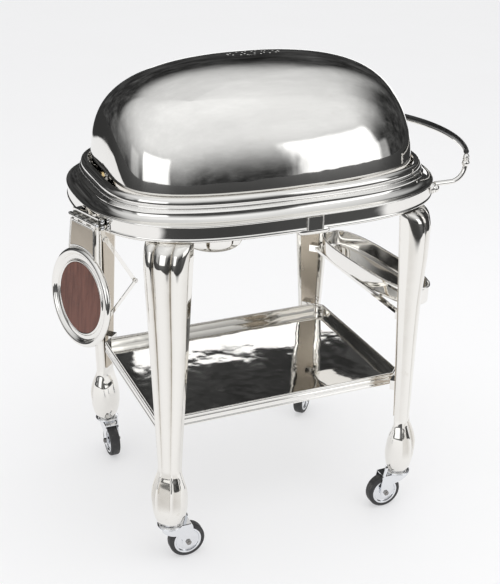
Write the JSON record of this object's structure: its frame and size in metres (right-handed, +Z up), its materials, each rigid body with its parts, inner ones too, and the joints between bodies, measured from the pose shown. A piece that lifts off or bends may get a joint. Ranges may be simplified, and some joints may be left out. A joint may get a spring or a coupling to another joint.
{
  "type": "carving trolley",
  "caption": "Silver-plated carving trolley with a roll-top dome, fluted legs, undershelf, folding plate rest, push handle and swivel casters.",
  "frame": {"origin": "on the floor, under the middle of the overall length and width", "axes": "+X along the trolley towards the push handle, -Y towards the guests, +Z up"},
  "size_m": [1.0028, 0.606, 1.102],
  "materials": {
    "silver_plate": "mirror-polished silver plate",
    "chrome": "bright chrome",
    "tyre_rubber": "matt black rubber",
    "board_wood": "oiled hardwood",
    "burner_brass": "satin brass",
    "black_grip": "satin black",
    "disc_face": "polished reddish-brown face",
    "leg_liner": "dull, lightly tarnished plate"
  },
  "bodies": {
    "carriage": {"rim_apron": "silver_plate", "rim_cove": "silver_plate", "rim_moulding": "silver_plate", "rim_underplate": "silver_plate", "rim_sleeve": "silver_plate", "hub_brackets": "silver_plate", "hub_shafts": "chrome", "deck_brackets": "silver_plate", "deck_plate": "silver_plate", "water_pan": "silver_plate", "gravy_wells": "silver_plate", "burner_dishes": "silver_plate", "burner_cans": "burner_brass", "burner_straps": "silver_plate", "leg_front_left": "silver_plate", "leg_front_right": "silver_plate", "leg_back_left": "silver_plate", "leg_back_right": "silver_plate", "leg_plates": "leg_liner", "leg_mounts": "silver_plate", "shelf_tray": "silver_plate", "shelf_rail": "silver_plate", "shelf_brackets": "silver_plate", "caster_sockets": "chrome", "handle_bosses": "silver_plate", "handle_arms": "silver_plate", "handle_grip": "black_grip", "rest_leaf": "silver_plate", "rest_pin": "chrome", "stay_anchor": "silver_plate", "tool_tray": "silver_plate", "tool_rail": "silver_plate"},
    "dome": {"dome_shell": "silver_plate", "dome_bead": "silver_plate", "dome_bushes": "burner_brass", "dome_handle": "silver_plate"},
    "well_lid_front": {"lid_front": "silver_plate"},
    "well_lid_back": {"lid_back": "silver_plate"},
    "plate_rest": {"rest_frame": "silver_plate", "rest_ring": "silver_plate", "rest_disc": "disc_face"},
    "board": {"carving_board": "board_wood"},
    "upper_stay": {"stay_upper": "silver_plate"},
    "lower_stay": {"stay_lower": "silver_plate"},
    "caster_front_left": {"fork_front_left": "chrome", "axles_front_left": "chrome"},
    "roller_front_left": {"tyre_front_left": "tyre_rubber", "wheel_front_left": "chrome"},
    "caster_front_right": {"fork_front_right": "chrome", "axles_front_right": "chrome"},
    "roller_front_right": {"tyre_front_right": "tyre_rubber", "wheel_front_right": "chrome"},
    "caster_back_left": {"fork_back_left": "chrome", "axles_back_left": "chrome"},
    "roller_back_left": {"tyre_back_left": "tyre_rubber", "wheel_back_left": "chrome"},
    "caster_back_right": {"fork_back_right": "chrome", "axles_back_right": "chrome"},
    "roller_back_right": {"tyre_back_right": "tyre_rubber", "wheel_back_right": "chrome"}
  },
  "joints": [
    {"name": "dome_roll", "type": "hinge", "parent": "carriage", "child": "dome", "pos_m": [-0.015, 0, 0.854], "axis": [1, 0, 0], "range_deg": [0, 150]},
    {"name": "lid_front_lift", "type": "slide", "parent": "carriage", "child": "well_lid_front", "axis": [0, 0, 1], "range_m": [0, 0.05]},
    {"name": "lid_back_lift", "type": "slide", "parent": "carriage", "child": "well_lid_back", "axis": [0, 0, 1], "range_m": [0, 0.05]},
    {"name": "board_lift", "type": "slide", "parent": "carriage", "child": "board", "axis": [0, 0, 1], "range_m": [0, 0.05]},
    {"name": "rest_raise", "type": "hinge", "parent": "carriage", "child": "plate_rest", "pos_m": [-0.445, -0.11, 0.803], "axis": [-0.309, 0.9511, 0], "range_deg": [0, 84.5]},
    {"name": "stay_upper_turn", "type": "hinge", "parent": "carriage", "child": "upper_stay", "pos_m": [-0.42598, -0.10382, 0.768], "axis": [-0.309, 0.9511, 0], "range_deg": [-1, 114.11]},
    {"name": "stay_lower_turn", "type": "hinge", "parent": "plate_rest", "child": "lower_stay", "pos_m": [-0.45289, -0.11256, 0.57073], "axis": [-0.309, 0.9511, 0], "range_deg": [-25.41, 1]},
    {"name": "swivel_front_left", "type": "hinge", "parent": "carriage", "child": "caster_front_left", "pos_m": [-0.315, -0.257, 0.12], "axis": [0, 0, 1], "continuous": true},
    {"name": "roll_front_left", "type": "hinge", "parent": "caster_front_left", "child": "roller_front_left", "pos_m": [-0.277, -0.257, 0.04275], "axis": [0, 1, 0], "continuous": true},
    {"name": "swivel_front_right", "type": "hinge", "parent": "carriage", "child": "caster_front_right", "pos_m": [0.285, -0.257, 0.12], "axis": [0, 0, 1], "continuous": true},
    {"name": "roll_front_right", "type": "hinge", "parent": "caster_front_right", "child": "roller_front_right", "pos_m": [0.247, -0.257, 0.04275], "axis": [0, -1, 0], "continuous": true},
    {"name": "swivel_back_left", "type": "hinge", "parent": "carriage", "child": "caster_back_left", "pos_m": [-0.315, 0.257, 0.12], "axis": [0, 0, 1], "continuous": true},
    {"name": "roll_back_left", "type": "hinge", "parent": "caster_back_left", "child": "roller_back_left", "pos_m": [-0.315, 0.219, 0.04275], "axis": [1, 0, 0], "continuous": true},
    {"name": "swivel_back_right", "type": "hinge", "parent": "carriage", "child": "caster_back_right", "pos_m": [0.285, 0.257, 0.12], "axis": [0, 0, 1], "continuous": true},
    {"name": "roll_back_right", "type": "hinge", "parent": "caster_back_right", "child": "roller_back_right", "pos_m": [0.25813, 0.23013, 0.04275], "axis": [0.7071, -0.7071, 0], "continuous": true}
  ],
  "couplings": [
    {"joint": "stay_upper_turn", "follows": "rest_raise", "ratio": 1.3386},
    {"joint": "stay_lower_turn", "follows": "rest_raise", "ratio": -0.28891}
  ]
}
